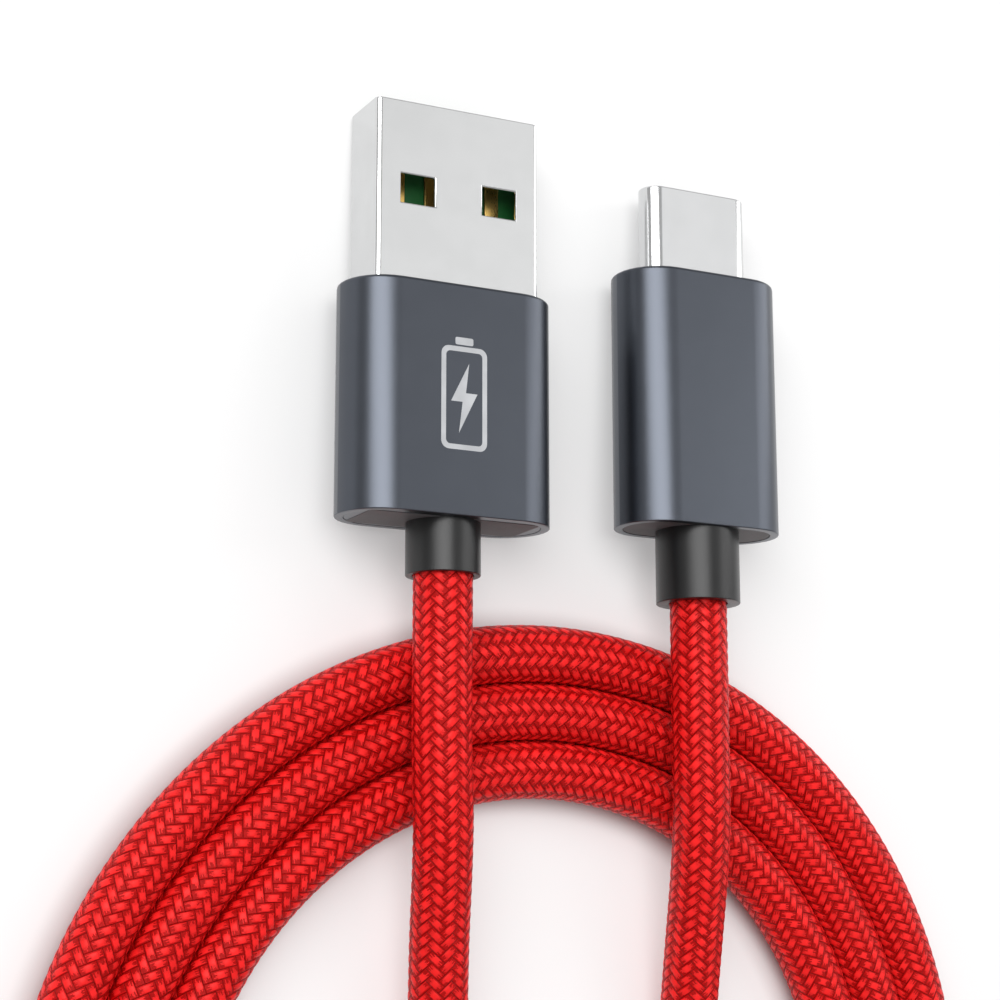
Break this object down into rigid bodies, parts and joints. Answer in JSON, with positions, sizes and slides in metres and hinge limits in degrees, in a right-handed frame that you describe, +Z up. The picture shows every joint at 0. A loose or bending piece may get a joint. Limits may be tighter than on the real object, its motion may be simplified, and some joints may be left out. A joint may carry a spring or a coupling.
{
  "type": "charging cable",
  "caption": "Braided USB-A to USB-C charging cable: metal plug shells, anodised aluminium housings, black boots and a red braided cord laid in a flat round coil.",
  "frame": {"origin": "on the surface that the cable lies on, under the middle of the two plugs", "axes": "+Y the way both plugs point, +X from the USB-A plug to the USB-C plug, +Z up from the surface"},
  "size_m": [0.0706, 0.1046, 0.0083],
  "materials": {
    "plug_nickel": "nickel plated, smooth satin",
    "plug_bright_nickel": "bright nickel plate",
    "spring_steel": "plain",
    "contact_gold": "gold plated",
    "housing_aluminium": "fine blasted, blue-grey anodised",
    "insulator_green": "moulded, dark green",
    "insulator_black": "moulded, black",
    "cap_plastic": "moulded, dark grey",
    "boot_plastic": "moulded, black, satin",
    "mould_plastic": "moulded, off-white",
    "cord_jacket": "smooth, dark red",
    "wire_red": "smooth",
    "wire_white": "smooth",
    "wire_green": "smooth",
    "wire_black": "smooth",
    "circuit_board": "solder mask, green",
    "resistor_ceramic": "chip, black glaze",
    "cord_braid": "braided nylon, red, herringbone"
  },
  "bodies": {
    "coil": {"cord_coil": "cord_braid", "cord_join_a": "cord_braid", "cord_join_c": "cord_braid"},
    "plug_a": {"usb_a_shell": "plug_nickel", "usb_a_insulator": "insulator_green", "usb_a_contact_1": "contact_gold", "usb_a_contact_2": "contact_gold", "usb_a_contact_3": "contact_gold", "usb_a_contact_4": "contact_gold", "usb_a_housing": "housing_aluminium", "usb_a_inner_mould": "mould_plastic", "usb_a_end_cap": "cap_plastic", "usb_a_boot": "boot_plastic", "usb_a_jacket_end": "cord_jacket", "usb_a_wire_red": "wire_red", "usb_a_wire_white": "wire_white", "usb_a_wire_green": "wire_green", "usb_a_wire_black": "wire_black", "cord_run_a": "cord_braid"},
    "plug_c": {"usb_c_shell": "plug_bright_nickel", "usb_c_insulator": "insulator_black", "usb_c_circuit_board": "circuit_board", "usb_c_resistor": "resistor_ceramic", "usb_c_housing": "housing_aluminium", "usb_c_inner_mould": "mould_plastic", "usb_c_end_cap": "cap_plastic", "usb_c_boot": "boot_plastic", "usb_c_jacket_end": "cord_jacket", "usb_c_wire_red": "wire_red", "usb_c_wire_white": "wire_white", "usb_c_wire_green": "wire_green", "usb_c_wire_black": "wire_black", "cord_run_c": "cord_braid"},
    "latch_left": {"usb_c_latch_left": "spring_steel"},
    "latch_right": {"usb_c_latch_right": "spring_steel"},
    "contacts_upper": {"usb_c_contact_a1": "contact_gold", "usb_c_contact_a4": "contact_gold", "usb_c_contact_a5": "contact_gold", "usb_c_contact_a6": "contact_gold", "usb_c_contact_a7": "contact_gold", "usb_c_contact_a9": "contact_gold", "usb_c_contact_a12": "contact_gold"},
    "contacts_lower": {"usb_c_contact_b1": "contact_gold", "usb_c_contact_b4": "contact_gold", "usb_c_contact_b9": "contact_gold", "usb_c_contact_b12": "contact_gold"}
  },
  "joints": [
    {"name": "plug_a_lift", "type": "hinge", "parent": "coil", "child": "plug_a", "pos_m": [-0.00715, -0.04265, 0.00575], "axis": [1, 0, 0], "range_deg": [0, 60]},
    {"name": "plug_c_lift", "type": "hinge", "parent": "coil", "child": "plug_c", "pos_m": [0.01239, -0.04265, 0.00495], "axis": [1, 0, 0], "range_deg": [0, 60]},
    {"name": "latch_left_flex", "type": "hinge", "parent": "plug_c", "child": "latch_left", "pos_m": [0.00695, 0.00569, 0.00325], "axis": [0, 0.1028, 0.9947], "range_deg": [0, 1.8], "stiffness_Nm_per_rad": 0.01},
    {"name": "latch_right_flex", "type": "hinge", "parent": "plug_c", "child": "latch_right", "pos_m": [0.0139, 0.00569, 0.00325], "axis": [0, -0.1028, -0.9947], "range_deg": [0, 1.8], "stiffness_Nm_per_rad": 0.01},
    {"name": "contacts_upper_flex", "type": "hinge", "parent": "plug_c", "child": "contacts_upper", "pos_m": [0.01043, 0.00663, 0.00364], "axis": [1, 0, 0], "range_deg": [0, 1], "stiffness_Nm_per_rad": 0.01},
    {"name": "contacts_lower_flex", "type": "hinge", "parent": "plug_c", "child": "contacts_lower", "pos_m": [0.01043, 0.00654, 0.00268], "axis": [-1, 0, 0], "range_deg": [0, 1], "stiffness_Nm_per_rad": 0.01}
  ]
}
